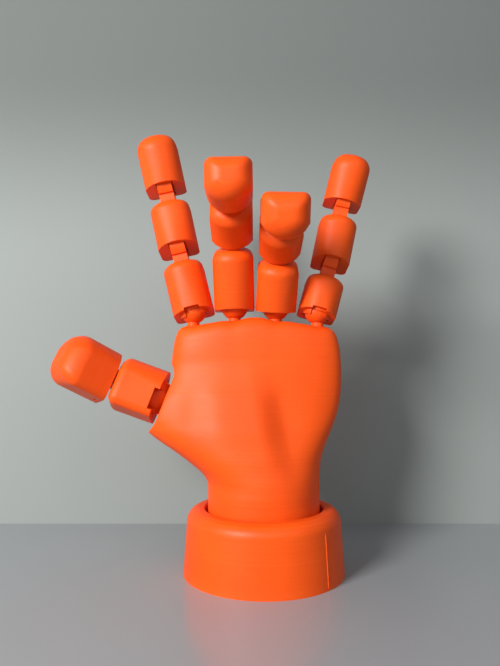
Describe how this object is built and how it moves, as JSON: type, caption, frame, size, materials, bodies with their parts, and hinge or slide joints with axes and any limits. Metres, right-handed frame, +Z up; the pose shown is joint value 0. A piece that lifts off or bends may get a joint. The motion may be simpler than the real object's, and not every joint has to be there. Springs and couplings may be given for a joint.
{
  "type": "poseable mannequin hand",
  "caption": "Life-size poseable left hand with ball-jointed, hinged fingers and thumb, turning in a round weighted base ring.",
  "frame": {"origin": "centre of the base ring's flat underside", "axes": "+Z up the hand, -Y out of the palm, +X to the little-finger side"},
  "size_m": [0.1627, 0.1133, 0.2246],
  "materials": {
    "printed_orange": "printed in fine horizontal layers, satin",
    "joint_core": "printed, satin, same plastic as the hand",
    "liner": "thin printed socket lining",
    "pin": "short length of the same filament-like round rod"
  },
  "bodies": {
    "base": {"base_ring": "printed_orange"},
    "hand": {"palm": "printed_orange", "wrist_pivot_plug": "joint_core", "index_ball_stud": "joint_core", "middle_ball_stud": "joint_core", "ring_ball_stud": "joint_core", "little_ball_stud": "joint_core", "thumb_ball_stud": "joint_core"},
    "index_socket": {"index_socket_liner": "liner"},
    "index_proximal": {"index_proximal_phalanx": "printed_orange"},
    "index_middle": {"index_middle_phalanx": "printed_orange", "index_knuckle_pin": "pin"},
    "index_distal": {"index_distal_phalanx": "printed_orange", "index_fingertip_pin": "pin"},
    "middle_socket": {"middle_socket_liner": "liner"},
    "middle_proximal": {"middle_proximal_phalanx": "printed_orange"},
    "middle_middle": {"middle_middle_phalanx": "printed_orange", "middle_knuckle_pin": "pin"},
    "middle_distal": {"middle_distal_phalanx": "printed_orange", "middle_fingertip_pin": "pin"},
    "ring_socket": {"ring_socket_liner": "liner"},
    "ring_proximal": {"ring_proximal_phalanx": "printed_orange"},
    "ring_middle": {"ring_middle_phalanx": "printed_orange", "ring_knuckle_pin": "pin"},
    "ring_distal": {"ring_distal_phalanx": "printed_orange", "ring_fingertip_pin": "pin"},
    "little_socket": {"little_socket_liner": "liner"},
    "little_proximal": {"little_proximal_phalanx": "printed_orange"},
    "little_middle": {"little_middle_phalanx": "printed_orange", "little_knuckle_pin": "pin"},
    "little_distal": {"little_distal_phalanx": "printed_orange", "little_fingertip_pin": "pin"},
    "thumb_socket": {"thumb_socket_liner": "liner"},
    "thumb_proximal": {"thumb_proximal_phalanx": "printed_orange"},
    "thumb_distal": {"thumb_distal_phalanx": "printed_orange", "thumb_knuckle_pin": "pin"}
  },
  "joints": [
    {"name": "wrist_swivel", "type": "hinge", "parent": "base", "child": "hand", "pos_m": [0, 0, 0.02], "axis": [0, 0, 1], "range_deg": [-60, 60]},
    {"name": "index_spread", "type": "hinge", "parent": "hand", "child": "index_socket", "pos_m": [-0.0363, 0, 0.1319], "axis": [0, 1, 0], "range_deg": [-5, 4]},
    {"name": "index_knuckle", "type": "hinge", "parent": "index_socket", "child": "index_proximal", "pos_m": [-0.0363, 0, 0.1319], "axis": [0.9703, 0, 0.2419], "range_deg": [-10, 45]},
    {"name": "index_middle_hinge", "type": "hinge", "parent": "index_proximal", "child": "index_middle", "pos_m": [-0.04485, 0.00661, 0.16621], "axis": [0.9703, 0, 0.2419], "range_deg": [-8, 36]},
    {"name": "index_fingertip_hinge", "type": "hinge", "parent": "index_middle", "child": "index_distal", "pos_m": [-0.05199, 0.0069, 0.19894], "axis": [0.977, 0, 0.213], "range_deg": [-12, 30]},
    {"name": "middle_spread", "type": "hinge", "parent": "hand", "child": "middle_socket", "pos_m": [-0.015, 0, 0.134], "axis": [0, 1, 0], "range_deg": [-4, 1.5]},
    {"name": "middle_knuckle", "type": "hinge", "parent": "middle_socket", "child": "middle_proximal", "pos_m": [-0.015, 0, 0.134], "axis": [0.9997, 0, 0.0244], "range_deg": [-35, 30]},
    {"name": "middle_middle_hinge", "type": "hinge", "parent": "middle_proximal", "child": "middle_middle", "pos_m": [-0.01595, -0.01039, 0.17277], "axis": [0.9997, 0, 0.0244], "range_deg": [-52, 0.2]},
    {"name": "middle_fingertip_hinge", "type": "hinge", "parent": "middle_middle", "child": "middle_distal", "pos_m": [-0.01618, -0.04123, 0.18586], "axis": [0.9998, 0, 0.0175], "range_deg": [-29, 18]},
    {"name": "ring_spread", "type": "hinge", "parent": "hand", "child": "ring_socket", "pos_m": [0.0063, 0, 0.1336], "axis": [0, 1, 0], "range_deg": [-1.5, 4]},
    {"name": "ring_knuckle", "type": "hinge", "parent": "ring_socket", "child": "ring_proximal", "pos_m": [0.0063, 0, 0.1336], "axis": [0.999, 0, -0.0454], "range_deg": [-44, 20]},
    {"name": "ring_middle_hinge", "type": "hinge", "parent": "ring_proximal", "child": "ring_middle", "pos_m": [0.00777, -0.01391, 0.16588], "axis": [0.999, 0, -0.0454], "range_deg": [-52, 0.2]},
    {"name": "ring_fingertip_hinge", "type": "hinge", "parent": "ring_middle", "child": "ring_distal", "pos_m": [0.00791, -0.04641, 0.17398], "axis": [0.9998, 0, -0.0175], "range_deg": [-33, 10]},
    {"name": "little_spread", "type": "hinge", "parent": "hand", "child": "little_socket", "pos_m": [0.0278, 0, 0.1312], "axis": [0, 1, 0], "range_deg": [-4, 4]},
    {"name": "little_knuckle", "type": "hinge", "parent": "little_socket", "child": "little_proximal", "pos_m": [0.0278, 0, 0.1312], "axis": [0.9636, 0, -0.2672], "range_deg": [-8, 39]},
    {"name": "little_middle_hinge", "type": "hinge", "parent": "little_proximal", "child": "little_middle", "pos_m": [0.03536, 0.00679, 0.15846], "axis": [0.9636, 0, -0.2672], "range_deg": [-8, 32]},
    {"name": "little_fingertip_hinge", "type": "hinge", "parent": "little_middle", "child": "little_distal", "pos_m": [0.04231, 0.00854, 0.19118], "axis": [0.9781, 0, -0.2079], "range_deg": [-18, 22]},
    {"name": "thumb_swing", "type": "hinge", "parent": "hand", "child": "thumb_socket", "pos_m": [-0.0559, 0, 0.0879], "axis": [0, 1, 0], "range_deg": [-6, 5]},
    {"name": "thumb_knuckle", "type": "hinge", "parent": "thumb_socket", "child": "thumb_proximal", "pos_m": [-0.0559, 0, 0.0879], "axis": [0.3502, 0, 0.9367], "range_deg": [-6, 6]},
    {"name": "thumb_tip_hinge", "type": "hinge", "parent": "thumb_proximal", "child": "thumb_distal", "pos_m": [-0.08114, -0.00176, 0.09734], "axis": [0.3012, 0.3407, 0.8906], "range_deg": [-26, 0.8]}
  ]
}
